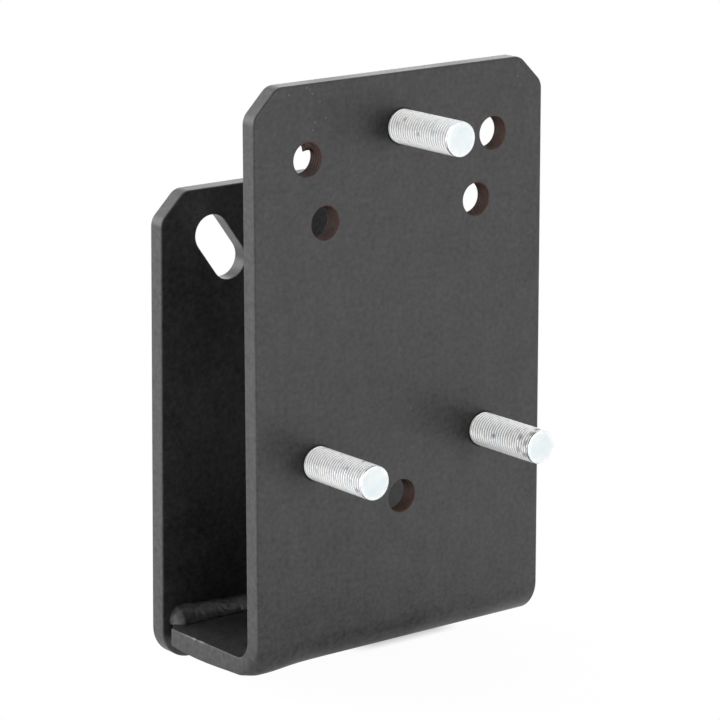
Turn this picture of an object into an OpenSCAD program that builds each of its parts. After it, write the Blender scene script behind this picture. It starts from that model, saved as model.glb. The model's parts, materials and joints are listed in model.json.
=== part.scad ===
// Spare tire relocation bracket: a folded steel front plate, a slotted back plate welded to its flange, and three wheel studs.
// Frame, in mm: origin at the centre of the stud circle on the front face, X to the right, Y back towards the vehicle, Z up.

/* [Front plate and flange] */
// width of the front plate and its flange, with the coating
plate_w = 127.4; // [110:0.1:160]
// thickness of both plates, with the coating
plate_t = 6.6; // [5:0.1:10]
// top edge of the front plate above the stud circle's centre
front_top = 82.6; // [70:0.1:110]
// underside of the flange below the stud circle's centre
flange_drop = 127; // [100:0.1:150]
// cut across each top corner of both plates, measured along both edges
corner_cut = 10; // [2:0.1:20]
// rounding at both ends of each corner cut
corner_r = 6; // [1:0.1:10]
// inner radius of the fold between front plate and flange
bend_r = 6.6; // [3:0.1:12]
// cut across each rear corner of the flange
flange_cut = 5.8; // [1:0.1:12]

/* [Back plate] */
// clear gap between the plates, measured at the flange's upper face
plate_gap = 52.2; // [30:0.1:90]
// how far the back plate stays inside each side of the front plate
side_step = 0.3; // [0:0.05:3]
// top edge of the back plate above the flange's underside
back_top = 165.4; // [140:0.1:200]
// how far the back plate reaches below the flange's underside
back_foot = 7.8; // [6:0.1:15]
// radius of the back plate's bottom corners
foot_r = 12; // [4:0.1:25]
// lean of the back plate towards the front plate, pulled in by the weld, in degrees
lean = 1.1; // [0:0.05:3]

/* [Slots of the back plate] */
// height of the slots' common centre above the flange's underside
slot_centre = 91.3; // [85:0.1:105]
// distance of each slot's inner end centre from the common centre
slot_from = 57.6; // [50:0.1:63]
// distance of each slot's outer end centre from the common centre
slot_to = 70.5; // [65:0.1:74]
// width of each slot
slot_w = 14.1; // [12:0.1:18]

/* [Wheel holes] */
// diameter of the circle that carries the studs, a 5 inch wheel pattern
stud_circle = 127; // [110:0.01:135]
// diameter of the large circle of tapped holes, a 5.5 inch wheel pattern
large_circle = 139.7; // [130:0.01:150]
// diameter of the small circle of tapped holes, a 4.5 inch wheel pattern that shares the lowest hole
small_circle = 114.3; // [105:0.01:120]
// places on each wheel pattern
wheel_places = 5; // [5:1:5]
// wall diameter of a tapped hole
tap_d = 11.6; // [9:0.1:12.4]
// countersink at each mouth of an empty tapped hole
tap_sink = 0.35; // [0.1:0.05:0.8]

/* [Studs] */
// outside diameter of the stud's thread
stud_d = 12.7; // [12.6:0.1:16]
// length of a stud in front of the plate
stud_out = 32.3; // [20:0.1:50]
// room left around each stud at the countersunk mouth of its hole
stud_room = 0.1; // [0.05:0.05:0.5]
// chamfer at a stud's free end
stud_end = 0.35; // [0.2:0.05:2]
// width across flats of a stud's head
head_af = 19.05; // [17:0.05:24]
// height of a stud's head
head_h = 7.9; // [5:0.1:10]
// diameter of the flat on the far side of a stud's head, where its corners are turned off
head_flat = 18.2; // [14:0.1:19]

/* [Welds] */
// leg of the upper weld bead, along the flange and up the back plate
weld_leg = 6; // [4:0.1:8]
// how far the upper weld bead stays inside each side of the front plate
weld_inset = 3; // [0.5:0.1:6]
// leg of the lower weld bead, along the flange's underside and down the back plate
under_leg = 5; // [3:0.1:5.5]
// how far behind its corner each puddle of a bead is centred, both ways
puddle_back = 3; // [1:0.1:5]
// distance from one puddle of a bead to the next
puddle_step = 5.4; // [4:0.1:8]
// how much the puddles differ in radius, up and down
puddle_wave = 0.25; // [0:0.05:0.4]

/* [Hidden] */
$fn = 64;
place_turn = 360 / wheel_places;
// corner cuts lie at this angle to the sheet's sides
cut_turn = 45;
z_under = -flange_drop;
z_flange = z_under + plate_t;
bend_out = bend_r + plate_t;
y_back = plate_t + plate_gap;
back_w = plate_w - 2 * side_step;
z_foot = z_under - back_foot;
z_shared = -large_circle / 2;
eps = 1;
reach = back_top;

// a place on a wheel circle as [x, z], counted from straight up in fifths of a turn
function place(d, k, z = 0) = [d / 2 * sin(place_turn * k), z + d / 2 * cos(place_turn * k)];

top_place = place(stud_circle, 0);
lower_left_place = place(stud_circle, -2);
lower_right_place = place(stud_circle, 2);
studs = [top_place, lower_left_place, lower_right_place];
empty_taps = [
    place(large_circle, -0.5),
    place(large_circle, 0.5),
    place(small_circle, -0.5, z_shared + small_circle / 2),
    place(small_circle, 0.5, z_shared + small_circle / 2),
    [0, z_shared],
];

// a cylinder along +Y, or a cone from radius r to radius r_far
module bar_y(at, y, r, len, r_far = -1) {
    translate([at[0], y, at[1]])
        rotate([-90, 0, 0])
            cylinder(r1 = r, r2 = r_far < 0 ? r : r_far, h = len);
}

// a cylinder along X, centred on X = 0
module bar_x(y, z, r, len) {
    translate([-len / 2, y, z])
        rotate([0, 90, 0])
            cylinder(r = r, h = len);
}

// the blocks that cut both top corners off a sheet of width w, whatever its thickness
module top_corner_cuts(w, z) {
    side = corner_cut * sqrt(2);
    for (s = [-1, 1])
        translate([s * w / 2, plate_t / 2, z])
            rotate([0, cut_turn, 0])
                cube([side, plate_t + 2 * eps, side], center = true);
}

// takes the sharp end off a corner cut at the point at, which faces a degrees above +X
module round_off(at, a) {
    to_centre = corner_r / cos(cut_turn / 2);
    translate([at[0] - to_centre * cos(a), 0, at[1] - to_centre * sin(a)])
        rotate([0, -a, 0])
            difference() {
                translate([corner_r * cos(cut_turn / 2), -eps, -corner_r])
                    cube([corner_r, plate_t + 2 * eps, 2 * corner_r]);
                bar_y([0, 0], -2 * eps, corner_r, plate_t + 4 * eps);
            }
}

// both cut top corners of a sheet of width w, with their ends rounded
module top_corners(w, z) {
    top_corner_cuts(w, z);
    for (s = [0, 1])
        mirror([s, 0, 0]) {
            round_off([w / 2, z - corner_cut], cut_turn / 2);
            round_off([w / 2 - corner_cut, z], 90 - cut_turn / 2);
        }
}

// moves its children from the front plate's upright frame to the back plate, which leans about the weld
module on_back_plate() {
    translate([0, y_back, z_flange])
        rotate([lean, 0, 0])
            translate([0, 0, -z_flange])
                children();
}

// everything from the back plate's front face backwards: the flange and the beads end on it
module behind_back_face() {
    on_back_plate()
        translate([-plate_w, 0, z_flange - reach])
            cube([2 * plate_w, reach, 2 * reach]);
}

// the room inside the fold, between front plate and flange, with the fold's inner radius
module inside_fold() {
    w = plate_w + 2 * eps;
    far = y_back + 2 * eps;
    high = front_top + eps;
    translate([-w / 2, plate_t + bend_r, z_flange])
        cube([w, far - plate_t - bend_r, high - z_flange]);
    translate([-w / 2, plate_t, z_flange + bend_r])
        cube([w, far - plate_t, high - z_flange - bend_r]);
    bar_x(plate_t + bend_r, z_flange + bend_r, bend_r, w);
}

// what the fold's outer radius takes off the square corner
module outside_fold() {
    w = plate_w + 2 * eps;
    difference() {
        translate([-w / 2, -eps, z_under - eps])
            cube([w, bend_out + eps, bend_out + eps]);
        bar_x(bend_out, z_under + bend_out, bend_out, w + 2 * eps);
    }
}

// a tapped hole through the front plate, with a countersink at each mouth
module tap_cut(at, sink) {
    bar_y(at, -eps, tap_d / 2, plate_t + 2 * eps);
    bar_y(at, -eps, tap_d / 2 + sink + eps, sink + eps, tap_d / 2);
    bar_y(at, plate_t - sink, tap_d / 2, sink + eps, tap_d / 2 + sink + eps);
}

module front_plate() {
    side = flange_cut * sqrt(2);
    color([0.11, 0.11, 0.115])
        difference() {
            translate([-plate_w / 2, 0, z_under])
                cube([plate_w, y_back + eps, front_top - z_under]);
            inside_fold();
            outside_fold();
            top_corners(plate_w, front_top);
            for (s = [-1, 1])
                translate([s * plate_w / 2, y_back, z_under + plate_t / 2])
                    rotate([0, 0, 45])
                        cube([side, side, plate_t + 2 * eps], center = true);
            behind_back_face();
            for (at = empty_taps)
                tap_cut(at, tap_sink);
            for (at = studs)
                tap_cut(at, (stud_d - tap_d) / 2 + stud_room);
        }
}

// a radial slot through the back plate, turned by a degrees from straight up
module slot_cut(a) {
    deep = plate_t + 2 * eps;
    translate([0, 0, z_under + slot_centre])
        rotate([0, a, 0]) {
            bar_y([0, slot_from], -eps, slot_w / 2, deep);
            bar_y([0, slot_to], -eps, slot_w / 2, deep);
            translate([-slot_w / 2, -eps, slot_from])
                cube([slot_w, deep, slot_to - slot_from]);
        }
}

// what the foot radius takes off one bottom corner of the back plate, s = -1 left and 1 right
module foot_corner_cut(s) {
    centre = [s * (back_w / 2 - foot_r), z_foot + foot_r];
    deep = plate_t + 2 * eps;
    difference() {
        translate([s > 0 ? centre[0] : centre[0] - foot_r - eps, -eps, z_foot - eps])
            cube([foot_r + eps, deep, foot_r + eps]);
        bar_y(centre, -2 * eps, foot_r, deep + 2 * eps);
    }
}

module back_plate() {
    high = z_under + back_top;
    color([0.11, 0.11, 0.115])
        on_back_plate()
            difference() {
                translate([-back_w / 2, 0, z_foot])
                    cube([back_w, plate_t, high - z_foot]);
                top_corners(back_w, high);
                foot_corner_cut(-1);
                foot_corner_cut(1);
                slot_cut(-place_turn / 2);
                slot_cut(place_turn / 2);
                slot_cut(180);
            }
}

// a hexagon head along +Y from y, its far corners turned off at 30 degrees
module hex_head(at, y) {
    intersection() {
        translate([at[0], y, at[1]])
            rotate([-90, 0, 0])
                cylinder(d = head_af / cos(30), h = head_h, $fn = 6);
        bar_y(at, y, head_flat / 2 + head_h * tan(60), head_h, head_flat / 2);
    }
}

// a wheel stud: threaded through its tapped hole, its head on the back of the front plate, its end forward
module stud(at) {
    union() {
        bar_y(at, -stud_out, stud_d / 2 - stud_end, stud_end, stud_d / 2);
        bar_y(at, stud_end - stud_out, stud_d / 2, stud_out - stud_end);
        bar_y(at, -eps, tap_d / 2, plate_t + 2 * eps);
        hex_head(at, plate_t);
    }
}

module stud_top() {
    color([0.78, 0.79, 0.8])
        stud(top_place);
}

module stud_lower_left() {
    color([0.78, 0.79, 0.8])
        stud(lower_left_place);
}

module stud_lower_right() {
    color([0.78, 0.79, 0.8])
        stud(lower_right_place);
}

// a weld bead in the corner between the flange and the back plate's front face, laid as a row of round puddles;
// up is 1 above the flange and -1 below it, leg is its size and end how far it stays inside the plate's sides
module bead(z, up, leg, end) {
    r = norm([leg + puddle_back, puddle_back]);
    half = plate_w / 2 - end - sqrt(r * r - 2 * puddle_back * puddle_back);
    n = round(2 * half / puddle_step);
    difference() {
        for (i = [0:n])
            translate([half * (2 * i / n - 1), y_back + puddle_back, z - up * puddle_back])
                sphere(r = r + (i == 0 || i == n ? 0 : puddle_wave * sin(137 * i)));
        behind_back_face();
        translate([-plate_w, y_back - reach, up > 0 ? z - reach : z])
            cube([2 * plate_w, 2 * reach, reach]);
    }
}

module weld_upper() {
    color([0.15, 0.15, 0.155])
        bead(z_flange, 1, weld_leg, weld_inset);
}

module weld_lower() {
    color([0.15, 0.15, 0.155])
        bead(z_under, -1, under_leg, flange_cut);
}

front_plate();
back_plate();
stud_top();
stud_lower_left();
stud_lower_right();
weld_upper();
weld_lower();
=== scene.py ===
"""Looks of a spare tire relocation bracket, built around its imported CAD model.

Sizes are in millimetres until a mesh is written, in the CAD model's frame: the origin is the centre of the
stud circle on the front face, X runs to the right, Y back towards the vehicle and Z up.
"""

import json
import logging
import math
from dataclasses import asdict, dataclass, field
from enum import Enum
from typing import Callable, Iterable, Sequence

import bmesh
import bpy
from mathutils import Matrix, Vector

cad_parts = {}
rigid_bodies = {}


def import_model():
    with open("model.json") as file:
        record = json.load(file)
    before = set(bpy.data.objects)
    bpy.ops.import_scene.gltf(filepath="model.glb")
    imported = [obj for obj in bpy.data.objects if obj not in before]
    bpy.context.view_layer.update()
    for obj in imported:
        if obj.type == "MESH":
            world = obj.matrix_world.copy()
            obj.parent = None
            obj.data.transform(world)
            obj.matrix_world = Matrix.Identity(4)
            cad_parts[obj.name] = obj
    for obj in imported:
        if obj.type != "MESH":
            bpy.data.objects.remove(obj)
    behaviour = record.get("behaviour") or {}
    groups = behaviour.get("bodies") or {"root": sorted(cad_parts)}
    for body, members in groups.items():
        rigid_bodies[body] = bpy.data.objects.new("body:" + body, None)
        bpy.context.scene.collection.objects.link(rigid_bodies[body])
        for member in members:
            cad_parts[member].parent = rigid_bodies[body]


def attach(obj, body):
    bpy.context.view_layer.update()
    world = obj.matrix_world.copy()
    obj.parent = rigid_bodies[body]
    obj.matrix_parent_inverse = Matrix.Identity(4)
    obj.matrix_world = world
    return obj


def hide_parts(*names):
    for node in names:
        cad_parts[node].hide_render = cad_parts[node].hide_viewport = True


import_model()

log = logging.getLogger("bracket")

MM = 0.001
BODY = "root"

Colour = tuple[float, float, float]
Flat = tuple[float, float]
Ring = list[bmesh.types.BMVert]


class Slot(Enum):
    """Names of the record's material slots."""

    COAT = "powder_coat"
    ZINC = "zinc"
    WELD = "weld_coat"


@dataclass(frozen=True)
class Field:
    """A node's result, which takes part in sums like a number."""

    graph: "Graph"
    socket: bpy.types.NodeSocket

    def __add__(self, other: "Field | float") -> "Field":
        """Sum of two values."""
        return self.graph.math("ADD", self, other)

    def __sub__(self, other: "Field | float") -> "Field":
        """Difference of two values."""
        return self.graph.math("SUBTRACT", self, other)

    def __rsub__(self, other: float) -> "Field":
        """Difference of a number and this value."""
        return self.graph.math("SUBTRACT", other, self)

    def __mul__(self, other: "Field | float") -> "Field":
        """Product of two values."""
        return self.graph.math("MULTIPLY", self, other)

    def __truediv__(self, other: "Field | float") -> "Field":
        """Quotient of two values."""
        return self.graph.math("DIVIDE", self, other)

    def do(self, operation: str, *others: "Field | float") -> "Field":
        """Any other math operation, with this value as its first input."""
        return self.graph.math(operation, self, *others)

    def clamp(self) -> "Field":
        """This value kept between 0 and 1."""
        return self.graph.math("MAXIMUM", self.graph.math("MINIMUM", self, 1.0), 0.0)

    def ramp(self, start: float, end: float) -> "Field":
        """0 where this value is at start, 1 where it is at end, straight between and level outside."""
        return ((self - start) / (end - start)).clamp()

    def between(self, low: float, high: float) -> "Field":
        """This value, 0 to 1, spread from a low to a high level."""
        return self * (high - low) + low


class Graph:
    """Lays nodes into a node tree and joins them."""

    def __init__(self, tree: bpy.types.NodeTree) -> None:
        """Works on a tree, and leaves what is in it."""
        self.tree = tree

    def node(self, kind: str, feeds: dict | None = None, **settings: object) -> bpy.types.Node:
        """Adds one node.

        Args:
            kind: Blender's name of the node type.
            feeds: values or fields by input name or index.
            settings: properties of the node itself.

        Returns:
            The new node.
        """
        made = self.tree.nodes.new(kind)
        for name, value in settings.items():
            setattr(made, name, value)
        for name, value in (feeds or {}).items():
            self.feed(made.inputs[name], value)
        return made

    def feed(self, socket: bpy.types.NodeSocket, value: object) -> None:
        """Links a field to a socket, or writes a plain value on it."""
        if isinstance(value, Field):
            self.tree.links.new(value.socket, socket)
        else:
            socket.default_value = value

    def out(self, node: bpy.types.Node, name: str | int = 0) -> Field:
        """One output of a node as a field."""
        return Field(self, node.outputs[name])

    def math(self, operation: str, *values: "Field | float") -> Field:
        """Adds a Math node."""
        return self.out(self.node("ShaderNodeMath", dict(enumerate(values)), operation=operation))

    def split(self, vector: Field) -> tuple[Field, Field, Field]:
        """The three parts of a vector."""
        parts = self.node("ShaderNodeSeparateXYZ", {0: vector})
        return self.out(parts, 0), self.out(parts, 1), self.out(parts, 2)

    def join(self, x: "Field | float", y: "Field | float", z: "Field | float") -> Field:
        """A vector from its three parts."""
        return self.out(self.node("ShaderNodeCombineXYZ", {0: x, 1: y, 2: z}))

    def blend(self, factor: Field, first: "Field | Colour", second: "Field | Colour") -> Field:
        """Mixes two colours, the first where the factor is 0."""
        ends = [c if isinstance(c, Field) else (*c, 1.0) for c in (first, second)]
        return self.out(self.node("ShaderNodeMix", {0: factor, 6: ends[0], 7: ends[1]}, data_type="RGBA"), 2)

    def noise(self, at: Field, scale: float, detail: float = 2.0, roughness: float = 0.5) -> Field:
        """Noise between 0 and 1 with so many features to the metre."""
        feeds = {"Vector": at, "Scale": scale, "Detail": detail, "Roughness": roughness}
        return self.out(self.node("ShaderNodeTexNoise", feeds), 0)

    def attribute(self, name: str) -> Field:
        """A value noted on the points of a mesh."""
        return self.out(self.node("ShaderNodeAttribute", attribute_name=name), "Fac")

    def bump(self, height: Field) -> Field:
        """A surface's direction, bent by a height in metres."""
        return self.out(self.node("ShaderNodeBump", {"Height": height, "Strength": 1.0, "Distance": 1.0}))


def new_object(name: str, data: bpy.types.ID) -> bpy.types.Object:
    """Makes an object in the scene."""
    made = bpy.data.objects.new(name, data)
    bpy.context.scene.collection.objects.link(made)
    return made


class Recipe:
    """A Geometry Nodes tree with named inputs that is run to make a plain mesh."""

    def __init__(self, name: str, *sizes: str) -> None:
        """Opens a tree.

        Args:
            name: name of the tree.
            sizes: names of its sizes, with underscores for blanks. Numbers of columns and rows and a
                finish are inputs of every tree.
        """
        self.tree = bpy.data.node_groups.new(name, "GeometryNodeTree")
        self.graph = Graph(self.tree)
        kinds = dict.fromkeys(sizes, "NodeSocketFloat") | dict.fromkeys(("columns", "rows"), "NodeSocketInt")
        kinds["finish"] = "NodeSocketMaterial"
        self.ids: dict[str, str] = {}
        for key, kind in kinds.items():
            title = key.replace("_", " ").capitalize()
            self.ids[key] = self.tree.interface.new_socket(title, in_out="INPUT", socket_type=kind).identifier
        self.tree.interface.new_socket("Geometry", in_out="OUTPUT", socket_type="NodeSocketGeometry")
        source = self.tree.nodes.new("NodeGroupInput")
        self.inputs = {key: Field(self.graph, source.outputs[place]) for place, key in enumerate(kinds)}

    def grid(self) -> tuple[Field, Field, Field]:
        """A flat grid and how far each of its points is across and along, both 0 to 1."""
        g = self.graph
        counts = {"Vertices X": self.inputs["columns"] + 1.0, "Vertices Y": self.inputs["rows"] + 1.0}
        mesh = g.out(g.node("GeometryNodeMeshGrid", {"Size X": 1.0, "Size Y": 1.0, **counts}))
        x, y, _ = g.split(g.out(g.node("GeometryNodeInputPosition")))
        return mesh, x + 0.5, y + 0.5

    def note(self, mesh: Field, name: str, value: Field) -> Field:
        """Writes a value on each point, for a material to read."""
        feeds = {"Geometry": mesh, "Name": name, "Value": value}
        return self.graph.out(self.graph.node("GeometryNodeStoreNamedAttribute", feeds, data_type="FLOAT"))

    def close(self, mesh: Field, place: Field) -> None:
        """Moves the points to their places, closes the seam and ends the tree."""
        g = self.graph
        moved = g.out(g.node("GeometryNodeSetPosition", {"Geometry": mesh, "Position": place}))
        merged = g.out(g.node("GeometryNodeMergeByDistance", {"Geometry": moved, "Distance": 1e-6}))
        real = g.out(g.node("GeometryNodeRealizeInstances", {"Geometry": merged}))
        dressed = g.node("GeometryNodeSetMaterial", {"Geometry": real, "Material": self.inputs["finish"]})
        g.feed(self.tree.nodes.new("NodeGroupOutput").inputs[0], g.out(dressed))

    def make(self, name: str, **values: object) -> bpy.types.Mesh:
        """Runs the tree once.

        Args:
            name: name of the mesh.
            values: the inputs, by the names given to the recipe.

        Returns:
            A plain mesh, with no modifier or helper object left behind.
        """
        holder = new_object(name + "_holder", bpy.data.meshes.new(name + "_empty"))
        modifier = holder.modifiers.new("recipe", "NODES")
        modifier.node_group = self.tree
        for key, value in values.items():
            modifier[self.ids[key]] = value
        depsgraph = bpy.context.evaluated_depsgraph_get()
        mesh = bpy.data.meshes.new_from_object(holder.evaluated_get(depsgraph), depsgraph=depsgraph)
        mesh.name = name
        holder.modifiers.clear()
        bpy.data.objects.remove(holder)
        return mesh


def thread_recipe() -> Recipe:
    """A screw thread as an open tube along +Y from the origin, right-handed, for a stud or a tapped hole.

    Returns:
        The recipe. The thread runs between crest and root radius, and out into a plain radius at each end.
    """
    groove_flat, flanks = 0.12, 0.74
    run_outs = ("plain_start", "plain_end", "fade_start", "fade_end")
    recipe = Recipe("screw_thread", "crest", "root", "pitch", "length", *run_outs)
    at, g = recipe.inputs, recipe.graph
    mesh, across, up = recipe.grid()
    along = up * at["length"]
    turn = across * math.tau
    phase = (along / at["pitch"] + across).do("FRACT")
    ridge = (((phase * 2.0 - 1.0).do("ABSOLUTE") - groove_flat) / flanks).clamp()
    starts = (along / at["fade_start"]).clamp()
    ends = ((at["length"] - along) / at["fade_end"]).clamp()
    thread = at["root"] + (at["crest"] - at["root"]) * ridge
    radius = at["plain_start"] + (thread - at["plain_start"]) * starts
    radius = at["plain_end"] + (radius - at["plain_end"]) * ends
    noted = recipe.note(mesh, "groove", (ridge * -1.0 + 1.0) * starts * ends)
    recipe.close(noted, g.join(radius * turn.do("COSINE"), along, radius * turn.do("SINE")))
    return recipe


@dataclass(frozen=True)
class ScrewThread:
    """Sizes of a thread: it fades into a plain radius over a short stretch at each end."""

    crest: float
    root: float
    pitch: float
    length: float
    plain_start: float
    plain_end: float
    fade_start: float
    fade_end: float

    def make(
        self, recipe: Recipe, name: str, columns: int, rows: int, finish: bpy.types.Material
    ) -> bpy.types.Mesh:
        """Runs the thread's recipe with these sizes."""
        sizes = {key: value * MM for key, value in asdict(self).items()}
        return recipe.make(name, columns=columns, rows=rows, finish=finish, **sizes)


def bead_recipe() -> Recipe:
    """A weld bead laid along X in the corner of two plates, as overlapping puddles with bowed ripples.

    Returns:
        The recipe. The corner is the X axis, with one plate below and in front and the other behind.
    """
    crown, bow_width = math.radians(135), math.radians(60)
    lump_ring, lumps_to_the_metre = 0.004, 130.0
    calming = 1.6
    hub_share = 0.35 / math.sqrt(2.0)
    sizes = ("half", "puddle", "setback", "blunt", "dip", "dip_from", "dip_to", "sink")
    recipe = Recipe("weld_bead", *sizes, "step", "ripple", "bow", "wander", "seed", "upward")
    at, g = recipe.inputs, recipe.graph
    mesh, across, up = recipe.grid()
    back_off = at["setback"] * math.sqrt(2.0)
    reach = (at["puddle"] * at["puddle"] - back_off * back_off).do("SQRT")
    x = (up - 0.5) * 2.0 * (at["half"] + reach / at["blunt"])
    angle = across * math.tau
    cosine, sine = angle.do("COSINE"), angle.do("SINE")

    from_crown = (angle - crown) / bow_width
    phase = x / at["step"] + from_crown * from_crown * at["bow"] + at["seed"]
    chance = g.out(g.node("ShaderNodeTexWhiteNoise", {"W": phase.do("FLOOR")}, noise_dimensions="1D"))
    part = phase.do("FRACT")
    hump = part * (part * -1.0 + 1.0) * 4.0
    spot = g.join(x + at["seed"], cosine * lump_ring, sine * lump_ring)
    lump = g.noise(spot, lumps_to_the_metre, 3.0) - 0.5
    over = (x.do("ABSOLUTE") - at["half"]).do("MAXIMUM", 0.0) * at["blunt"]
    calm = at["ripple"] * (1.0 - (over / reach * calming).clamp())
    puddle = at["puddle"] + calm * (hump - 0.6) * (chance * 0.9 + 0.55) + lump * at["wander"]

    radius = (puddle * puddle - over * over).do("MAXIMUM", back_off * back_off).do("SQRT")
    hub = (radius - back_off) * hub_share
    lever = (hub + at["setback"]) * (sine - cosine)
    far = (hub + at["setback"]) * (hub + at["setback"]) * 2.0
    to_face = (lever * lever - far + radius * radius).do("MAXIMUM", 0.0).do("SQRT") - lever
    to_floor = (hub + at["sink"]) / (sine * -1.0).do("MAXIMUM", 1e-4)
    to_wall = (hub + at["sink"]) / cosine.do("MAXIMUM", 1e-4)
    inside = (up * (up * -1.0 + 1.0)).do("GREATER_THAN", 1e-6)
    ray = to_face.do("MINIMUM", to_floor).do("MINIMUM", to_wall) * inside
    low = ((x - at["dip_from"]) / (at["dip_to"] - at["dip_from"])).clamp() * at["dip"] * -1.0 + 1.0
    recipe.close(mesh, g.join(x, ray * cosine - hub, (ray * sine + hub) * low * at["upward"]))
    return recipe


@dataclass(frozen=True)
class Mark:
    """A small spot in a finish, such as a chip, a speck of dust or a smudge."""

    place: tuple[float, float, float]
    radius: float
    strength: float


def new_material(name: str) -> tuple[bpy.types.Material, Graph, bpy.types.Node, Field]:
    """Opens a material.

    Args:
        name: name of the material.

    Returns:
        The material, its graph, its Principled shader and the object coordinates.
    """
    material = bpy.data.materials.new(name)
    material.use_nodes = True
    graph = Graph(material.node_tree)
    shader = next(n for n in material.node_tree.nodes if n.type == "BSDF_PRINCIPLED")
    return material, graph, shader, graph.out(graph.node("ShaderNodeTexCoord"), "Object")


def spots(graph: Graph, at: Field, marks: Iterable[Mark]) -> Field:
    """Where the marks are: 0 away from them and up to their strength in the core of each."""
    core = 0.45
    total = graph.math("ADD", 0.0, 0.0)
    for mark in marks:
        centre = tuple(c * MM for c in mark.place)
        gap = graph.node("ShaderNodeVectorMath", {0: at, 1: centre}, operation="DISTANCE")
        spot = graph.out(gap, "Value").ramp(mark.radius * MM, mark.radius * MM * core)
        total = total.do("MAXIMUM", spot * mark.strength)
    return total


@dataclass(frozen=True)
class PowderCoat:
    """Black powder coat on steel: satin, faintly mottled, with orange peel, fine grain and stray specks."""

    name: str
    dark: Colour = (0.007, 0.007, 0.0072)
    light: Colour = (0.068, 0.0674, 0.0666)
    speck: Colour = (0.20, 0.20, 0.20)
    chip: Colour = (0.50, 0.45, 0.41)
    smoothest: float = 0.36
    roughest: float = 0.50
    peel_depth: float = 0.016
    grain_depth: float = 0.005
    mottle_share: float = 0.18
    fleck_share: float = 0.46
    streak_share: float = 0.14
    grain_share: float = 0.22
    chips: tuple[Mark, ...] = ()
    specks: tuple[Mark, ...] = ()

    def build(self) -> bpy.types.Material:
        """Makes the material."""
        material, g, shader, at = new_material(self.name)
        mottle = g.noise(at, 90.0, 7.0, 0.68).ramp(0.34, 0.66)
        flecks = g.noise(at, 520.0, 4.0, 0.65).ramp(0.3, 0.7)
        drawn = g.out(g.node("ShaderNodeMapping", {"Vector": at, "Scale": (9.0, 9.0, 1.0)}))
        streak = g.noise(drawn, 28.0, 3.0)
        grain = g.noise(at, 1900.0, 2.0)
        cells = g.node("ShaderNodeTexVoronoi", {"Vector": at, "Scale": 165.0})
        pick = g.split(g.out(cells, "Color"))[0].do("GREATER_THAN", 0.86)
        dust = g.out(cells, "Distance").ramp(0.045, 0.018) * pick * 0.55
        coarse = mottle * self.mottle_share + flecks * self.fleck_share
        mixed = coarse + streak * self.streak_share + grain * self.grain_share
        base = g.blend(mixed.ramp(0.24, 0.76), self.dark, self.light)
        dusted = g.blend(dust.do("MAXIMUM", spots(g, at, self.specks)), base, self.speck)
        g.feed(shader.inputs["Base Color"], g.blend(spots(g, at, self.chips), dusted, self.chip))
        patches = g.noise(at, 24.0, 4.0).ramp(0.3, 0.7)
        g.feed(shader.inputs["Roughness"], patches.between(self.smoothest, self.roughest))
        peel = g.noise(at, 430.0, 2.0)
        height = peel * (self.peel_depth * MM) + grain * (self.grain_depth * MM)
        g.feed(shader.inputs["Normal"], g.bump(height))
        return material


@dataclass(frozen=True)
class TappedSteel:
    """Threads cut in the plate: reddish brown bare steel, randomly stained dark, with painted shade in the
    grooves and further in.
    """

    name: str
    rust: Colour = (0.150, 0.058, 0.038)
    oil: Colour = (0.014, 0.010, 0.009)
    roughness: float = 0.5
    pale_to: float = 0.3
    dark_from: float = 6.5

    def build(self) -> bpy.types.Material:
        """Makes the material."""
        material, g, shader, at = new_material(self.name)
        deep = g.split(at)[1].ramp(self.pale_to * MM, self.dark_from * MM)
        grooves = g.attribute("groove")
        # Painted shade: the steel is drawn darker further into the hole and in the thread grooves, on top of
        # random dark stains.
        rust_share = g.noise(at, 320.0, 5.0, 0.65).ramp(0.3, 0.7) * (1.0 - deep * 0.7) * (1.0 - grooves * 0.3)
        g.feed(shader.inputs["Base Color"], g.blend(rust_share, self.oil, self.rust))
        shader.inputs["Metallic"].default_value = 0.25
        g.feed(shader.inputs["Roughness"], rust_share * 0.2 + (self.roughness - 0.1))
        return material


@dataclass(frozen=True)
class ZincPlate:
    """Bright zinc on rolled threads, with faint blue and yellow passivation, a few smudges and painted shade
    in the grooves.
    """

    name: str
    cool: Colour = (0.82, 0.85, 0.87)
    warm: Colour = (0.88, 0.87, 0.85)
    # Painted shade in the thread grooves; also the colour of the scuffs and of the greyer head.
    groove: Colour = (0.24, 0.24, 0.24)
    end: Colour = (0.56, 0.62, 0.645)
    end_spot: Colour = (0.64, 0.66, 0.66)
    worn: float = 0.35
    smudge: Colour = (0.16, 0.155, 0.15)
    scuff: float = 0.6
    smoothest: float = 0.24
    roughest: float = 0.38
    grain_depth: float = 0.003
    smudges: tuple[Mark, ...] = ()

    def build(self) -> bpy.types.Material:
        """Makes the material."""
        material, g, shader, at = new_material(self.name)
        tint = g.noise(at, 140.0, 3.0).ramp(0.35, 0.65)
        grooves = g.attribute("groove")
        scuffs = g.noise(at, 480.0, 5.0, 0.75).ramp(0.46, 0.66) * self.scuff
        behind = g.split(at)[1].ramp(-1.0 * MM, 0.0)
        # Painted shade in the grooves, with the scuffs and the greyer head behind the plate as wear.
        groove_shade_and_wear = grooves.do("MAXIMUM", scuffs * (1.0 - behind)).do("MAXIMUM", behind * self.worn)
        turned = g.blend(groove_shade_and_wear, g.blend(tint, self.cool, self.warm), self.groove)
        patch = g.noise(at, 260.0, 4.0, 0.65).ramp(0.35, 0.65)
        plate = g.blend(g.attribute("end"), turned, g.blend(patch, self.end, self.end_spot))
        g.feed(shader.inputs["Base Color"], g.blend(spots(g, at, self.smudges), plate, self.smudge))
        shader.inputs["Metallic"].default_value = 1.0
        patches = g.noise(at, 700.0, 3.0)
        g.feed(shader.inputs["Roughness"], patches.between(self.smoothest, self.roughest))
        height = g.noise(at, 2600.0, 2.0) * (self.grain_depth * MM)
        g.feed(shader.inputs["Normal"], g.bump(height))
        return material


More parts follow.
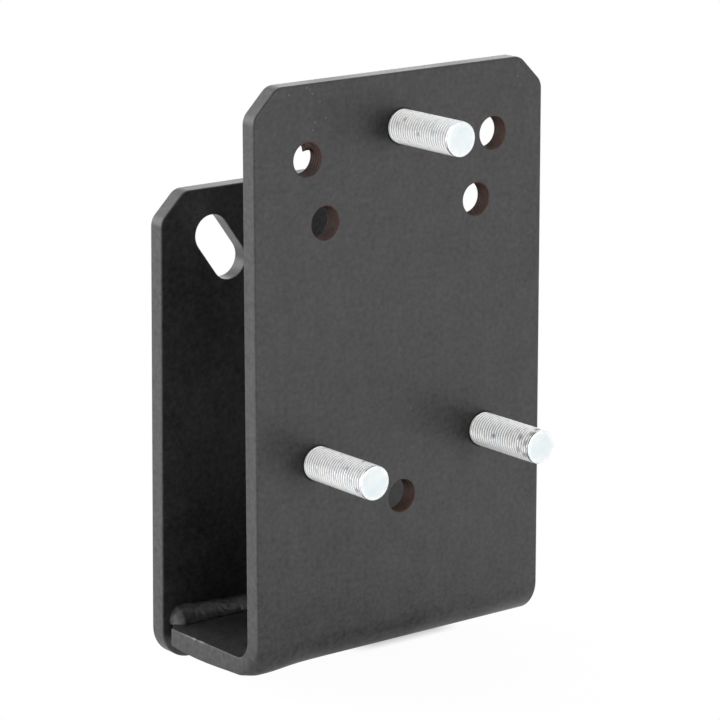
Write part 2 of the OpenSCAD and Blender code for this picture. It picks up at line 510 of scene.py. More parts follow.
@dataclass(frozen=True)
class StudioFloor:
    """A floor that reads white to the camera, with the bracket's soft shadow and a painted shade under its
    fold.
    """

    name: str = "studio_floor"
    glow: float = 0.96
    shade: float = 0.52
    shade_x: tuple[float, float, float, float] = (-3.0, 9.0, 38.0, 48.0)
    shade_y: tuple[float, float, float, float] = (22.5, 30.0, 52.0, 64.0)
    reflected: float = 1.4
    reflected_near: float = 0.4
    bounce: float = 0.65
    paint: float = 0.16
    near: float = 0.02
    far: float = 0.12

    def build(self) -> bpy.types.Material:
        """Makes the material."""
        material = bpy.data.materials.new(self.name)
        material.use_nodes = True
        material.node_tree.nodes.clear()
        g = Graph(material.node_tree)
        seen = g.node("ShaderNodeLightPath")
        direct, mirrored = g.out(seen, "Is Camera Ray"), g.out(seen, "Is Glossy Ray")
        x, y, _ = g.split(g.out(g.node("ShaderNodeTexCoord"), "Object"))
        close = (x * x + y * y).do("SQRT").ramp(self.far, self.near)
        paint = g.node("ShaderNodeBsdfDiffuse", {"Color": g.join(*[close * self.paint] * 3)})
        across, along = (
            v.ramp(start * MM, full * MM) * v.ramp(end * MM, fading * MM)
            for v, (start, full, fading, end) in ((x, self.shade_x), (y, self.shade_y))
        )
        # Painted shadow: a patch under the fold is drawn darker to the camera only.
        shown = direct * close.between(1.0, self.glow) * (1.0 - across * along * self.shade)
        # Painted shade: near the bracket the floor is drawn darker in reflections.
        shine = mirrored * close.between(self.reflected, self.reflected_near)
        light = shown + shine + (1.0 - direct - mirrored) * self.bounce
        glow = g.node("ShaderNodeEmission", {"Strength": light})
        both = g.node("ShaderNodeAddShader", {0: g.out(paint), 1: g.out(glow)})
        g.node("ShaderNodeOutputMaterial", {"Surface": g.out(both)})
        return material


def rounded(corners: Sequence[tuple[float, float, float]], steps: int = 10) -> list[Flat]:
    """Rounds the corners of a closed outline.

    Args:
        corners: each corner and the radius that rounds it, in order.
        steps: pieces of each rounding.

    Returns:
        The points of the outline, in the same order.
    """
    points: list[Flat] = []
    for place, (x, y, radius) in enumerate(corners):
        corner = Vector((x, y))
        if radius <= 0:
            points.append((x, y))
            continue
        before = (Vector(corners[place - 1][:2]) - corner).normalized()
        after = (Vector(corners[(place + 1) % len(corners)][:2]) - corner).normalized()
        half = before.angle(after) / 2
        centre = corner + (before + after).normalized() * (radius / math.sin(half))
        first = corner + before * (radius / math.tan(half)) - centre
        last = corner + after * (radius / math.tan(half)) - centre
        sweep = math.pi - 2 * half
        for step in range(steps + 1):
            share = step / steps
            spoke = first * math.sin((1 - share) * sweep) + last * math.sin(share * sweep)
            point = centre + spoke / math.sin(sweep)
            points.append((point.x, point.y))
    return points


def divided(points: Sequence[Flat], levels: Sequence[float], step: float) -> list[Flat]:
    """Adds points to a closed outline.

    Args:
        points: the outline.
        levels: heights at which each upright side gets a point.
        step: longest stretch left on the other sides.

    Returns:
        The outline with its added points.
    """
    made: list[Flat] = []
    for place, (x, y) in enumerate(points):
        made.append((x, y))
        x_next, y_next = points[(place + 1) % len(points)]
        if abs(x_next - x) < 1e-6 and levels:
            low, high = min(y, y_next) + 1e-6, max(y, y_next) - 1e-6
            between = sorted((v for v in levels if low < v < high), reverse=y_next < y)
            made.extend((x, v) for v in between)
        else:
            parts = max(1, math.ceil(math.hypot(x_next - x, y_next - y) / step))
            made.extend((x + (x_next - x) * k / parts, y + (y_next - y) * k / parts) for k in range(1, parts))
    return made


def inset(points: Sequence[Flat], by: float) -> list[Flat]:
    """Moves a closed outline to its left side, where the material is.

    Args:
        points: the outline.
        by: how far.

    Returns:
        The moved points.
    """
    made: list[Flat] = []
    for place, point in enumerate(points):
        here = Vector(point)
        come = (here - Vector(points[place - 1])).normalized()
        go = (Vector(points[(place + 1) % len(points)]) - here).normalized()
        normal = Vector((-come.y - go.y, come.x + go.x))
        shift = normal * (2 * by / normal.length_squared)
        made.append((here.x + shift.x, here.y + shift.y))
    return made


def circle(centre: Flat, radius: float, sides: int) -> list[Flat]:
    """A round hole's outline, with the material on its left."""
    turns = [-math.tau * k / sides for k in range(sides)]
    return [(centre[0] + radius * math.cos(a), centre[1] + radius * math.sin(a)) for a in turns]


def skin(mesh: bmesh.types.BMesh, first: Ring, second: Ring, start: int = 0) -> list[bmesh.types.BMFace]:
    """Joins two lines of points with faces: rings all the way round, open lines with a start of 1."""
    quads = ((first[k - 1], first[k], second[k], second[k - 1]) for k in range(start, len(first)))
    return [mesh.faces.new(quad) for quad in quads]


@dataclass
class Sheet:
    """A coated steel sheet, drawn flat as outlines with rounded edges and put in place point by point."""

    thickness: float
    place: Callable[[float, float, float], Vector]
    edge: float = 0.5
    far_edge: float = 0.5
    edge_steps: int = 4
    margin: float = 0.4
    mesh: bmesh.types.BMesh = field(default_factory=bmesh.new)

    def ring(self, points: Sequence[Flat], depth: float) -> Ring:
        """Writes one closed line of points at a depth below the front face."""
        return [self.mesh.verts.new(self.place(u, v, depth) * MM) for u, v in points]

    def sections(self) -> list[Flat]:
        """The rounded edge as pairs of inset and depth, from the front face round to the back."""
        turns = [math.pi / 2 * k / self.edge_steps for k in range(self.edge_steps + 1)]
        near, far = (
            [(r + self.margin, 0.0)]
            + [(r * (1 - math.sin(a)), r * (1 - math.cos(a))) for a in turns]
            + [(0.0, r + self.margin)]
            for r in (self.edge, self.far_edge)
        )
        return near + [(d, self.thickness - n) for d, n in reversed(far)]

    def rim(self, points: Sequence[Flat]) -> tuple[Ring, Ring]:
        """Builds the rounded edge along an outline and returns its innermost rings, front and back."""
        rings = [self.ring(inset(points, d), n) for d, n in self.sections()]
        for first, second in zip(rings, rings[1:]):
            skin(self.mesh, first, second)
        return rings[0], rings[-1]

    def bore(self, centre: Flat, section: Sequence[Flat], sides: int, tapped: bool) -> tuple[Ring, Ring]:
        """Builds a round hole.

        Args:
            centre: its centre.
            section: pairs of radius and depth, from the front face to the back.
            sides: points round it.
            tapped: whether its mouths are cut bare and its wall is left out for a threaded one.

        Returns:
            Its outermost rings, front and back.
        """
        rings = [self.ring(circle(centre, r, sides), n) for r, n in section]
        last = len(rings) - 2
        for place, (first, second) in enumerate(zip(rings, rings[1:])):
            if tapped and place == last / 2:
                continue
            for face in skin(self.mesh, first, second):
                face.material_index = int(tapped and 2 <= place <= last - 2)
        return rings[0], rings[-1]

    def fill(self, outer: Sequence[bmesh.types.BMVert], holes: Sequence[Ring], normal: Vector) -> None:
        """Fills the flat face between an outline and the holes in it."""
        edges = []
        for loop in [outer, *holes]:
            for place, vert in enumerate(loop):
                pair = (loop[place - 1], vert)
                edges.append(self.mesh.edges.get(pair) or self.mesh.edges.new(pair))
        bmesh.ops.triangle_fill(self.mesh, use_beauty=True, use_dissolve=False, edges=edges, normal=normal)


def close_mesh(work: bmesh.types.BMesh, name: str, merge: float = 4e-6) -> bpy.types.Mesh:
    """Closes a mesh, turns its faces outwards and writes it.

    Args:
        work: the mesh as built, which is freed.
        name: name of the written mesh.
        merge: distance in metres within which points are joined, or 0 for none.

    Returns:
        The written mesh.
    """
    if merge:
        bmesh.ops.remove_doubles(work, verts=work.verts, dist=merge)
    bmesh.ops.recalc_face_normals(work, faces=work.faces)
    loose = sum(not e.is_manifold for e in work.edges)
    if loose:
        log.warning("%s has %d open edges", name, loose)
    made = bpy.data.meshes.new(name)
    work.to_mesh(made)
    work.free()
    return made


def add_piece(
    mesh: bpy.types.Mesh, name: str, node: str, finishes: Sequence[bpy.types.Material]
) -> None:
    """Puts a finished mesh in the scene in place of a CAD node.

    Args:
        mesh: the mesh, in metres, at its place.
        name: name of the piece.
        node: the CAD node it stands for.
        finishes: materials, in the order of the mesh's material indices.
    """
    mesh.name = name
    for material in finishes:
        if mesh.materials.find(material.name) < 0:
            mesh.materials.append(material)
    mesh.shade_smooth()
    piece = new_object(name, mesh)
    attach(piece, BODY)
    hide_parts(node)
    log.info("%s: %d faces, stands for %s", name, len(mesh.polygons), node)


@dataclass
class WheelPattern:
    """Places of the studs and tapped holes on the wheel circles."""

    stud_circle: float = 127.0
    large_circle: float = 139.7
    small_circle: float = 114.3
    places: int = 5

    def place(self, diameter: float, fifths: float, rise: float = 0.0) -> Flat:
        """A place on a circle, counted from straight up in parts of a turn."""
        turn = math.tau * fifths / self.places
        return diameter / 2 * math.sin(turn), rise + diameter / 2 * math.cos(turn)

    def studs(self) -> dict[str, Flat]:
        """Each stud's node and place."""
        names = {"stud_top": 0, "stud_lower_left": -2, "stud_lower_right": 2}
        return {name: self.place(self.stud_circle, fifths) for name, fifths in names.items()}

    def tapped(self) -> list[Flat]:
        """Places of the empty tapped holes, the outer upper left one first."""
        rise = (self.small_circle - self.large_circle) / 2
        outer = [self.place(self.large_circle, s) for s in (-0.5, 0.5)]
        inner = [self.place(self.small_circle, s, rise) for s in (-0.5, 0.5)]
        return [*outer, *inner, (0.0, -self.large_circle / 2)]


@dataclass
class FrontPlate:
    """The folded plate: upright wheel plate, fold and flange, with tapped holes.

    The press has marked the fold's left end. Its edge is soft and flares out sideways, the fold bulges by the
    lip further in, and the coating hangs as a heel below the flange's end face.
    """

    pattern: WheelPattern
    width: float = 127.4
    thickness: float = 6.6
    top: float = 82.6
    drop: float = 127.0
    corner_cut: float = 10.0
    corner_round: float = 6.0
    bend_outer: float = 13.2
    bend_steps: int = 24
    flange_cut: float = 5.8
    depth: float = 58.8
    edge: float = 0.7
    far_edge: float = 0.35
    edge_reach: float = 0.45
    softest: float = 3.6
    sharpest: float = 0.7
    flare: float = 0.3
    flare_run: float = 3.5
    flare_slope: float = 1.25
    lip: float = 1.45
    lip_rise: float = 2.0
    lip_top: float = 6.5
    lip_run: float = 12.5
    lip_inner: float = 0.25
    heel: float = 0.95
    heel_run: float = 6.0
    heel_bias: float = 1.3
    flange_round: float = 0.8
    mesh_step: float = 6.0
    levels_above: int = 30
    levels_below: int = 7
    fold_columns: tuple[float, ...] = (4.5, 6.0, 8.0, 10.5, 13.0, 16.0, 19.0, 23.0, 28.0, 36.0)
    tap_radius: float = 5.8
    tap_sink: float = 0.35
    thread_radius: float = 6.3
    pitch: float = 1.27
    stud_radius: float = 6.45
    burr: float = 3.4
    burr_turn: float = 57.0
    burr_depth: float = 4.2
    burr_spread: float = 0.5
    burr_length: float = 1.3
    mouth_round: tuple[Flat, ...] = ((0.6, 0.0), (0.14, 0.0), (0.03, 0.03), (-0.06, 0.1))
    wall_round: tuple[Flat, ...] = ((0.04, -0.04), (0.0, 0.05))
    thread_fade: float = 0.35
    thread_rows: int = 56
    sides: int = 96
    support: float = 0.5

    @property
    def bend_start(self) -> float:
        """Height where the upright part ends and the fold begins."""
        return self.bend_outer - self.drop

    @property
    def bend_run(self) -> float:
        """Length of the fold along its outer face."""
        return math.pi / 2 * self.bend_outer

    @property
    def flange_run(self) -> float:
        """Length of the flange's straight sides behind the fold."""
        return self.depth - self.bend_outer - self.flange_cut

    def place(self, u: float, v: float, depth: float) -> Vector:
        """Bends a point of the flat drawing into place.

        Args:
            u: distance to the right.
            v: height on the flat drawing.
            depth: depth below the outer face.

        Returns:
            The point in space.
        """
        over = self.bend_start - v
        if over <= 0:
            return Vector((u, depth, v))
        inside = self.width / 2 - abs(u)
        turn = min(over / self.bend_outer, math.pi / 2)
        drawn = math.sin(2 * turn) ** 2
        edge = self.edge + self.edge_reach
        if u < 0 and inside < edge and depth < edge:
            least = 1.0 if turn < math.pi / 4 else self.sharpest
            soft = least + (self.softest - least) * drawn
            inside, depth = inside * soft, depth * soft
        outer = 1 - depth / self.thickness
        run = over - self.bend_run
        if run >= 0:
            low = self.heel * outer * math.sin(math.pi * min(1.0, run / self.flange_run) ** self.heel_bias)
            low *= math.exp(-((inside / self.heel_run) ** 2)) if u < 0 else 0.0
            u = math.copysign(self.width / 2 - inside, u)
            return Vector((u, self.bend_outer + run, depth - self.drop - low))
        lip = 0.0
        if u < 0:
            rise = 1 - math.exp(-((inside / self.lip_rise) ** 2))
            lip = self.lip * rise * math.exp(-((max(0.0, inside - self.lip_top) / self.lip_run) ** 2))
        radius = self.bend_outer - depth + lip * drawn * (self.lip_inner + (1 - self.lip_inner) * outer)
        swell = self.flare * drawn * (1 - outer * self.flare_slope) if inside < self.flare_run else 0.0
        u = math.copysign(self.width / 2 - inside + swell, u)
        y, z = self.bend_outer - radius * math.cos(turn), self.bend_start - radius * math.sin(turn)
        return Vector((u, y, z))

    def outline(self) -> tuple[list[Flat], list[float]]:
        """The flat outline, material on its left, and the levels of the fold from top to bottom."""
        half, cut = self.width / 2, self.corner_cut
        end = self.bend_start - self.bend_run - (self.depth - self.bend_outer)
        corners = [
            (half - cut, self.top, self.corner_round),
            (cut - half, self.top, self.corner_round),
            (-half, self.top - cut, self.corner_round),
            (-half, end + self.flange_cut, self.flange_round),
            (self.flange_cut - half, end, self.flange_round),
            (half - self.flange_cut, end, self.flange_round),
            (half, end + self.flange_cut, self.flange_round),
            (half, self.top - cut, self.corner_round),
        ]
        steps = [self.bend_start - self.bend_run * k / self.bend_steps for k in range(self.bend_steps + 1)]
        fold = [self.bend_start + self.support, *steps, steps[-1] - self.support]
        plain = [fold[0] + self.mesh_step * (k + 1) for k in range(self.levels_above)]
        plain += [fold[-1] - self.mesh_step * (k + 1) for k in range(self.levels_below)]
        return divided(rounded(corners), [*fold, *plain], self.mesh_step), fold

    def bores(self, sheet: Sheet) -> tuple[list[Ring], list[Ring]]:
        """Cuts every hole and returns the outermost rings, front and back."""
        fronts, backs = [], []
        for taps, centres in ((True, self.pattern.tapped()), (False, self.pattern.studs().values())):
            mouth = self.tap_radius + self.tap_sink if taps else self.stud_radius
            sink = mouth - self.tap_radius
            half = [(mouth + r, n) for r, n in self.mouth_round]
            half += [(self.tap_radius + r, sink + n) for r, n in self.wall_round]
            section = half + [(r, self.thickness - n) for r, n in reversed(half)]
            for centre in centres:
                front, back = sheet.bore(centre, section, self.sides, taps)
                fronts.append(front)
                backs.append(back)
        return fronts, backs

    def threads(self, sheet: Sheet, recipe: Recipe, steel: bpy.types.Material) -> None:
        """Sets a threaded wall into each empty tapped hole, with the second finish."""
        start = self.tap_sink + self.wall_round[-1][1]
        length = self.thickness - 2 * start
        ends = (self.tap_radius, self.tap_radius, self.thread_fade, self.thread_fade)
        thread = ScrewThread(self.thread_radius, self.tap_radius, self.pitch, length, *ends)
        wall = thread.make(recipe, "tapped_wall", self.sides, self.thread_rows, steel)
        wall.polygons.foreach_set("material_index", [1] * len(wall.polygons))
        for place, (x, z) in enumerate(self.pattern.tapped()):
            copy = wall.copy()
            if place == 0:
                self.hang_burr(copy)
            copy.transform(Matrix.Translation(Vector((x, start, z)) * MM))
            sheet.mesh.from_mesh(copy)
            bpy.data.meshes.remove(copy)
        bpy.data.meshes.remove(wall)

    def hang_burr(self, wall: bpy.types.Mesh) -> None:
        """Pulls a lump of coating inwards from the top of a tapped hole's wall."""
        for vert in wall.vertices:
            x, y, z = vert.co / MM
            off = (math.atan2(z, x) - math.radians(self.burr_turn)) / self.burr_spread
            deep = (y - self.burr_depth) / self.burr_length
            pull = self.burr * math.exp(-(off**2)) * math.exp(-(deep**2)) / math.hypot(x, z)
            vert.co.x *= 1 - pull
            vert.co.z *= 1 - pull

    def build(self, recipe: Recipe, steel: bpy.types.Material) -> bpy.types.Mesh:
        """Builds the mesh.

        Args:
            recipe: the thread's recipe.
            steel: finish of the tapped holes' threads.

        Returns:
            The mesh, whose second finish is the steel.
        """
        sheet = Sheet(self.thickness, self.place, self.edge, self.far_edge)
        points, fold = self.outline()

        def index(side: int, level: float) -> int:
            """Which point of the outline lies on one side at a level."""
            return next(k for k, (u, v) in enumerate(points) if u * side > 0 and abs(v - level) < 1e-6)

        left, right = ([index(side, level) for level in fold] for side in (-1, 1))
        rims = sheet.rim(points)
        holes = self.bores(sheet)
        half = self.width / 2
        columns = [s - half for s in self.fold_columns] + [half - s for s in reversed(self.fold_columns)]
        for rim, inner, face, depth in zip(rims, holes, (-1, 1), (0.0, self.thickness)):
            rows = []
            for level, a, b in zip(fold, left, right):
                rows.append([rim[a], *sheet.ring([(u, level) for u in columns], depth), rim[b]])
            for first, second in zip(rows, rows[1:]):
                skin(sheet.mesh, first, second, start=1)
            sheet.fill(rim[right[0] :] + rim[: left[0] + 1] + rows[0][1:-1], inner, Vector((0, face, 0)))
            sheet.fill(rim[left[-1] : right[-1] + 1] + rows[-1][-2:0:-1], [], Vector((0, 0, face)))
        self.threads(sheet, recipe, steel)
        return close_mesh(sheet.mesh, "front_plate_folded")

    def dress(self, recipe: Recipe, coat: bpy.types.Material, steel: bpy.types.Material) -> None:
        """Builds the plate and gives it its finishes."""
        add_piece(self.build(recipe, steel), "front_plate_folded", "front_plate", [coat, steel])


@dataclass
class BackPlate:
    """The slotted plate, welded to the flange and drawn a little towards the front plate."""

    width: float = 126.8
    thickness: float = 6.6
    top: float = 38.4
    foot: float = -134.8
    corner_cut: float = 10.0
    corner_round: float = 6.0
    foot_round: float = 12.0
    face: float = 58.8
    pivot: float = -120.4
    lean: float = 1.1
    slot_centre: float = -35.7
    slot_from: float = 57.6
    slot_to: float = 70.5
    slot_width: float = 14.1
    slot_turns: tuple[float, ...] = (-36.0, 36.0, 180.0)
    slot_steps: int = 20
    mesh_step: float = 6.0

    def place(self, u: float, v: float, depth: float) -> Vector:
        """Leans a point of the flat drawing about the weld's corner."""
        flat = Vector((u, depth, v - self.pivot))
        turned = Matrix.Rotation(math.radians(self.lean), 3, "X") @ flat
        return turned + Vector((0.0, self.face, self.pivot))

    def slot(self, turn: float) -> list[Flat]:
        """A radial slot's outline, material on its left, turned so many degrees from straight up."""
        radius = self.slot_width / 2
        arcs = [math.pi * k / self.slot_steps for k in range(self.slot_steps + 1)]
        points = [(-radius * math.cos(a), self.slot_to + radius * math.sin(a)) for a in arcs]
        points += [(radius * math.cos(a), self.slot_from - radius * math.sin(a)) for a in arcs]
        turned = Matrix.Rotation(-math.radians(turn), 2)
        made = [turned @ Vector(p) for p in points]
        return [(p.x, p.y + self.slot_centre) for p in made]

    def build(self) -> bpy.types.Mesh:
        """Builds the mesh."""
        sheet = Sheet(self.thickness, self.place)
        half, cut = self.width / 2, self.corner_cut
        corners = [
            (half - cut, self.top, self.corner_round),
            (cut - half, self.top, self.corner_round),
            (-half, self.top - cut, self.corner_round),
            (-half, self.foot, self.foot_round),
            (half, self.foot, self.foot_round),
            (half, self.top - cut, self.corner_round),
        ]
        outer = sheet.rim(divided(rounded(corners), [], self.mesh_step))
        slots = [sheet.rim(divided(self.slot(turn), [], self.mesh_step)) for turn in self.slot_turns]
        for side, face in enumerate((-1, 1)):
            sheet.fill(outer[side], [rims[side] for rims in slots], Vector((0, face, 0)))
        return close_mesh(sheet.mesh, "back_plate_slotted")

    def dress(self, coat: bpy.types.Material) -> None:
        """Builds the plate and gives it its finish."""
        add_piece(self.build(), "back_plate_slotted", "back_plate", [coat])


@dataclass
class WheelStud:
    """A wheel stud: rolled thread in front of the plate, shank through it and hexagon head behind."""

    node: str
    centre: Flat
    crest: float = 6.2
    root: float = 5.55
    pitch: float = 1.27
    out: float = 32.3
    end_radius: float = 5.95
    nose: float = 6.1
    sunk: float = 0.5
    shank: float = 5.78
    plate: float = 6.6
    head_flats: float = 19.05
    head_height: float = 7.9
    head_flat: float = 9.1
    head_near: tuple[Flat, ...] = ((0.35, 0.0), (0.1, 0.1), (0.0, 0.35))
    head_far: tuple[Flat, ...] = ((0.0, 0.25), (0.12, 0.06))
    fades: Flat = (1.1, 0.45)
    end_hub: float = 4.4
    end_depth: float = 0.35
    end_shares: tuple[float, ...] = (1.0, 0.62, 0.5)
    sides: int = 72
    rows: int = 300

    def hexagon(self, turn: float) -> float:
        """Distance from the axis to the head's side, in one direction."""
        part = (turn + math.pi / 6) % (math.pi / 3) - math.pi / 6
        return self.head_flats / 2 / math.cos(part)

    def rings(self) -> list[list[Flat]]:
        """Rings of the closed part behind the thread, each point as radius and depth."""
        under, far = self.plate, self.plate + self.head_height
        side = [self.hexagon(math.tau * k / self.sides) for k in range(self.sides)]
        slope = math.tan(math.radians(30))
        rings = [[(self.shank, y)] * self.sides for y in (self.sunk, under)]
        rings += [[(r - back, under + n) for r in side] for back, n in self.head_near]
        for back, n in self.head_far:
            rings.append([(r - back, far - max(0.0, r - back - self.head_flat) * slope - n) for r in side])
        flats = (self.head_flat, self.head_flat - 0.5, self.head_flat * 0.5)
        return rings + [[(r, far)] * self.sides for r in flats]

    def nose_rings(self) -> list[list[Flat]]:
        """Rings of the free end, from its middle out to the thread, each point as radius and depth."""
        step = self.nose - self.end_radius
        rounding = [(-0.3, 0.0), (0.0, 0.02), (step * 0.55, 0.1), (step - 0.03, 0.22), (step, self.end_depth)]
        section = [(self.end_hub, 0.0)] + [(self.end_radius + r, n) for r, n in rounding]
        return [[(r, n - self.out)] * self.sides for r, n in section]

    def build(self, recipe: Recipe, zinc: bpy.types.Material) -> bpy.types.Mesh:
        """Builds the mesh.

        Args:
            recipe: the thread's recipe.
            zinc: finish of the thread.

        Returns:
            The mesh, with the share of each point in the cut end noted on it.
        """
        start = self.end_depth
        length = self.out + self.sunk - start
        thread = ScrewThread(self.crest, self.root, self.pitch, length, self.nose, self.shank, *self.fades)
        shaft = thread.make(recipe, self.node + "_thread", self.sides, self.rows, zinc)
        shaft.transform(Matrix.Translation(Vector((0.0, start - self.out, 0.0)) * MM))
        mesh = bmesh.new()
        mesh.from_mesh(shaft)
        ends = mesh.verts.layers.float.new("end")
        bpy.data.meshes.remove(shaft)
        turns = [math.tau * k / self.sides for k in range(self.sides)]

        def write(ring: Sequence[Flat]) -> Ring:
            """Writes one ring of radius and depth pairs."""
            made = zip(ring, turns)
            return [mesh.verts.new(Vector((r * math.cos(a), y, r * math.sin(a))) * MM) for (r, y), a in made]

        front, back = ([write(ring) for ring in rings] for rings in (self.nose_rings(), self.rings()))
        for rings in (front, back):
            for first, second in zip(rings, rings[1:]):
                skin(mesh, first, second)
        for ring, depth in ((front[0], -self.out), (back[-1], self.plate + self.head_height)):
            hub = mesh.verts.new(Vector((0.0, depth, 0.0)) * MM)
            for k in range(self.sides):
                mesh.faces.new((ring[k - 1], ring[k], hub))
            if ring is front[0]:
                for share, verts in zip(self.end_shares, ((hub, *ring), front[1], front[2])):
                    for vert in verts:
                        vert[ends] = share
        made = close_mesh(mesh, self.node)
        made.transform(Matrix.Translation(Vector((self.centre[0], 0.0, self.centre[1])) * MM))
        return made

    def dress(self, recipe: Recipe, zinc: bpy.types.Material) -> None:
        """Builds the stud and gives it its finish."""
        add_piece(self.build(recipe, zinc), self.node + "_threaded", self.node, [zinc])


@dataclass
class WeldBead:
    """A fillet bead in the corner between the flange and the back plate."""

    node: str
    corner: Flat
    upward: int
    leg: float
    end: float
    seed: float
    plate_half: float = 63.7
    setback: float = 3.0
    blunt: float = 2.4
    dip: float = 0.0
    dip_from: float = -52.0
    dip_to: float = -34.0
    step: float = 3.4
    ripple: float = 0.12
    bow: float = 0.6
    wander: float = 2.2
    sink: float = 0.35
    columns: int = 48
    rows: int = 420

    def build(self, recipe: Recipe, coat: bpy.types.Material) -> bpy.types.Mesh:
        """Builds the mesh.

        Args:
            recipe: the bead's recipe.
            coat: finish of the bead.

        Returns:
            The mesh, at its place.
        """
        puddle = math.hypot(self.leg + self.setback, self.setback)
        reach = math.sqrt(puddle**2 - 2 * self.setback**2)
        half = self.plate_half - self.end - reach / self.blunt
        lengths = ("setback", "dip_from", "dip_to", "sink", "step", "ripple", "wander")
        values = {key: getattr(self, key) * MM for key in lengths}
        values |= {key: getattr(self, key) for key in ("blunt", "dip", "bow", "seed", "columns", "rows")}
        values |= {"half": half * MM, "puddle": puddle * MM, "upward": float(self.upward)}
        mesh = recipe.make(self.node + "_bead", finish=coat, **values)
        mesh.transform(Matrix.Translation(Vector((0.0, *self.corner)) * MM))
        work = bmesh.new()
        work.from_mesh(mesh)
        bpy.data.meshes.remove(mesh)
        return close_mesh(work, self.node + "_bead", merge=0.0)

    def dress(self, recipe: Recipe, coat: bpy.types.Material) -> None:
        """Builds the bead and gives it its finish."""
        add_piece(self.build(recipe, coat), self.node + "_bead", self.node, [coat])


@dataclass(frozen=True)
class Lamp:
    """A soft square lamp aimed at the bracket."""

    name: str
    azimuth: float
    elevation: float
    distance: float
    size: float
    power: float

    def build(self, target: Vector) -> None:
        """Makes the lamp."""
        a, e = math.radians(self.azimuth), math.radians(self.elevation)
        back = Vector((math.sin(a) * math.cos(e), -math.cos(a) * math.cos(e), math.sin(e)))
        data = bpy.data.lights.new(self.name, "AREA")
        data.shape, data.size, data.energy = "SQUARE", self.size, self.power
        lamp = new_object(self.name, data)
        lamp.location = target + back * self.distance
        lamp.rotation_mode = "QUATERNION"
        lamp.rotation_quaternion = (-back).to_track_quat("-Z", "Y")


@dataclass
class Studio:
    """Camera, floor, world and lamps."""

    eye: tuple[float, float, float] = (-758.386, -953.049, 285.361)
    azimuth: float = -37.81705
    elevation: float = 14.07952
    roll: float = 0.09572
    focal_pixels: float = 3562.164
    frame_pixels: float = 720.0
    sensor: float = 36.0
    floor_height: float = -134.85
    floor_half: float = 6000.0
    ambient: float = 0.024
    reflected: float = 1.12
    nearest: float = 50.0
    farthest: float = 50000.0
    aim: tuple[float, float, float] = (0.0, 30.0, -30.0)
    lamps: tuple[Lamp, ...] = (
        Lamp("front_near", 14.0, 7.0, 1.5, 0.3, 3.1),
        Lamp("front_right", 30.0, 35.0, 1.5, 1.0, 0.9),
        Lamp("left_low", -105.0, 3.0, 1.6, 0.8, 8.5),
        Lamp("left_above", -100.0, 55.0, 1.6, 0.9, 1.0),
        Lamp("left_behind", -142.0, 18.0, 1.6, 0.9, 11.0),
        Lamp("corner_glint", -162.0, 37.0, 1.6, 0.9, 3.5),
        Lamp("right_behind", 145.0, 12.0, 1.6, 1.2, 6.2),
    )

    def camera(self) -> None:
        """Sets the camera at the photograph's viewing angle."""
        a, e, g = (math.radians(v) for v in (self.azimuth, self.elevation, self.roll))
        ahead = -Vector((math.sin(a) * math.cos(e), -math.cos(a) * math.cos(e), math.sin(e)))
        right = ahead.cross(Vector((0.0, 0.0, 1.0))).normalized()
        down = ahead.cross(right)
        right, down = right * math.cos(g) + down * math.sin(g), down * math.cos(g) - right * math.sin(g)
        data = bpy.data.cameras.new("photo_camera")
        data.sensor_width = self.sensor
        data.lens = self.focal_pixels * self.sensor / self.frame_pixels
        data.clip_start, data.clip_end = self.nearest * MM, self.farthest * MM
        camera = new_object("photo_camera", data)
        turn = Matrix((right, -down, -ahead)).transposed().to_4x4()
        camera.matrix_world = Matrix.Translation(Vector(self.eye) * MM) @ turn
        bpy.context.scene.camera = camera

    def floor(self) -> None:
        """Lays the floor."""
        half, height = self.floor_half * MM, self.floor_height * MM
        mesh = bpy.data.meshes.new("studio_floor")
        corners = [(-half, -half, height), (half, -half, height), (half, half, height), (-half, half, height)]
        mesh.from_pydata(corners, [], [(0, 1, 2, 3)])
        mesh.materials.append(StudioFloor().build())
        new_object("studio_floor", mesh)

    def world(self) -> None:
        """Sets a plain world that reads white to the camera and in reflections."""
        world = bpy.data.worlds.new("studio")
        world.use_nodes = True
        world.node_tree.nodes.clear()
        g = Graph(world.node_tree)
        seen = g.node("ShaderNodeLightPath")
        direct, mirrored = g.out(seen, "Is Camera Ray"), g.out(seen, "Is Glossy Ray")
        level = direct * (1.0 - self.ambient) + mirrored * (self.reflected - self.ambient) + self.ambient
        sky = g.node("ShaderNodeBackground", {"Color": (1.0, 1.0, 1.0, 1.0), "Strength": level})
        g.node("ShaderNodeOutputWorld", {"Surface": g.out(sky)})
        bpy.context.scene.world = world

    def build(self) -> None:
        """Makes the whole studio."""
        self.camera()
        self.floor()
        self.world()
        for lamp in self.lamps:
            lamp.build(Vector(self.aim) * MM)
        bpy.context.scene.view_settings.view_transform = "Standard"


def chips() -> tuple[Mark, ...]:
    """Chips in the coating along the flange's left end: places along the edge and how bare each is."""
    rear = [(38.6, 0.6), (39.4, 0.55), (40.2, 0.35), (41.2, 0.25), (42.2, 0.2), (43.2, 0.2), (44.2, 0.15)]
    front = [(33.2, 0.25), (34.0, 0.4), (34.8, 0.45), (35.7, 0.25)]
    return tuple(Mark((-63.7, y, -120.45), 0.8, bare) for y, bare in [*rear, *front])


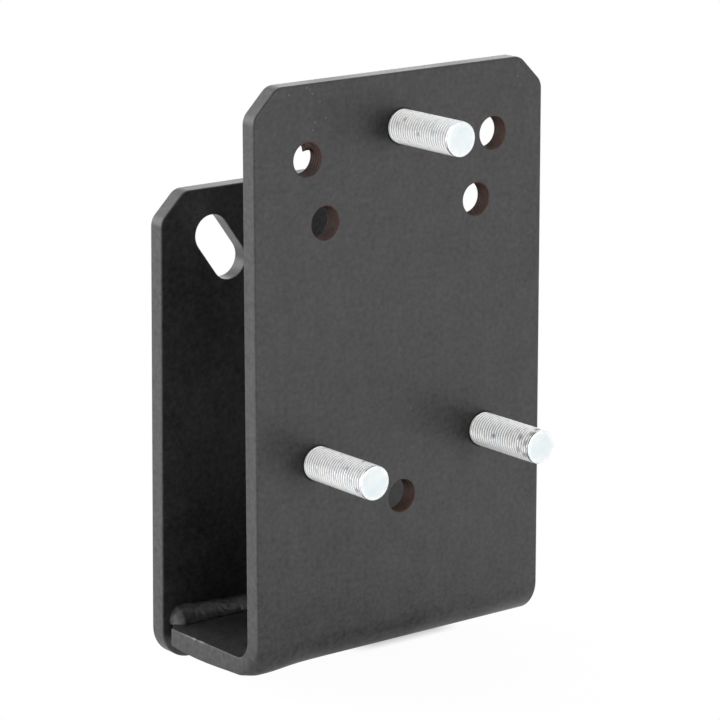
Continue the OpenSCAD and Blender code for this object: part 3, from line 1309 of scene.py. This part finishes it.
def specks() -> tuple[Mark, ...]:
    """Dust on the front face."""
    dust = [(-41.2, 81.3), (-39.9, 80.6), (-38.9, 79.0), (-33.2, 70.1), (-38.7, 66.5), (-37.9, 69.2)]
    dust += [(-35.7, 75.9), (-48.8, 79.7), (52.5, 75.6), (53.5, 72.3), (4.2, -38.3)]
    return tuple(Mark((x, 0.0, z), 0.45, 0.8) for x, z in dust)


def smudges() -> tuple[Mark, ...]:
    """Dark smudges on the studs' threads."""
    right = [(34.3, -30.8, -46.0, 1.6, 0.7), (37.4, -29.9, -45.2, 1.5, 0.8), (32.2, -26.8, -47.9, 1.5, 0.6)]
    right += [(31.5, -30.4, -49.4, 1.4, 0.6), (31.2, -26.9, -52.5, 1.6, 0.6), (31.6, -29.8, -53.8, 1.6, 0.7)]
    right += [(31.2, -13.1, -50.3, 1.2, 0.9)]
    left = [(-36.3, -24.9, -45.3, 1.1, 0.8), (-43.0, -29.6, -53.7, 1.5, 0.6), (-41.9, -22.6, -47.3, 1.0, 0.5)]
    top = [(-4.6, -7.4, 67.6, 1.2, 0.5), (-6.2, -16.5, 63.8, 1.1, 0.5)]
    return tuple(Mark((x, y, z), radius, dark) for x, y, z, radius, dark in [*right, *left, *top])


def main() -> None:
    """Builds the studio and every piece in order."""
    logging.basicConfig(level=logging.INFO, format="%(name)s: %(message)s")
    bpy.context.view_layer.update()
    Studio().build()

    coat = PowderCoat("black_powder_coat", chips=chips(), specks=specks()).build()
    # Painted light: the weld has the same black powder coat as the plates, drawn lighter for the light on its
    # upper side.
    grey, pale = (0.03, 0.03, 0.03), (0.11, 0.11, 0.11)
    weld_coat = PowderCoat("coated_weld", grey, pale, peel_depth=0.02).build()
    steel = TappedSteel("tapped_steel").build()
    zinc = ZincPlate("zinc_plate", smudges=smudges()).build()

    pattern = WheelPattern()
    thread, bead = thread_recipe(), bead_recipe()
    FrontPlate(pattern).dress(thread, coat, steel)
    BackPlate().dress(coat)
    for node, centre in pattern.studs().items():
        WheelStud(node, centre).dress(thread, zinc)
    WeldBead("weld_upper", (58.8, -120.4), 1, leg=6.0, end=3.0, seed=3.0, dip=0.25).dress(bead, weld_coat)
    WeldBead("weld_lower", (58.8, -127.0), -1, leg=5.0, end=5.8, seed=17.0).dress(bead, weld_coat)


if __name__ == "__main__":
    main()
